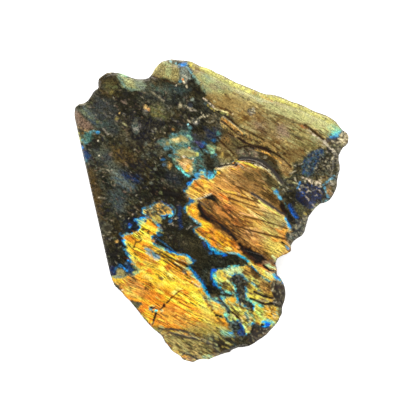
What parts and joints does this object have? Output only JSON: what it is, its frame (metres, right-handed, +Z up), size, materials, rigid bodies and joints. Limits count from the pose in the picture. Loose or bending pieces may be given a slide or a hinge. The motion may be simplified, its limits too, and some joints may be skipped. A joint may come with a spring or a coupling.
{
  "type": "semi-polished labradorite slab",
  "caption": "Free-form slab of dark labradorite with gold, blue and green flash on its polished face, broken natural edges, one sawn side and a flat sawn back that it lies on.",
  "frame": {"origin": "on the flat sawn back that the slab lies on, under the middle of its bounding box", "axes": "+Z up out of the polished face, +Y along the slab towards its broad end, +X across it, away from the straight sawn side"},
  "size_m": [0.1374, 0.152, 0.02],
  "materials": {
    "labradorite": "polished upper face with iridescent flash, matt broken and sawn sides"
  },
  "bodies": {
    "root": {"labradorite_slab": "labradorite"}
  },
  "joints": []
}
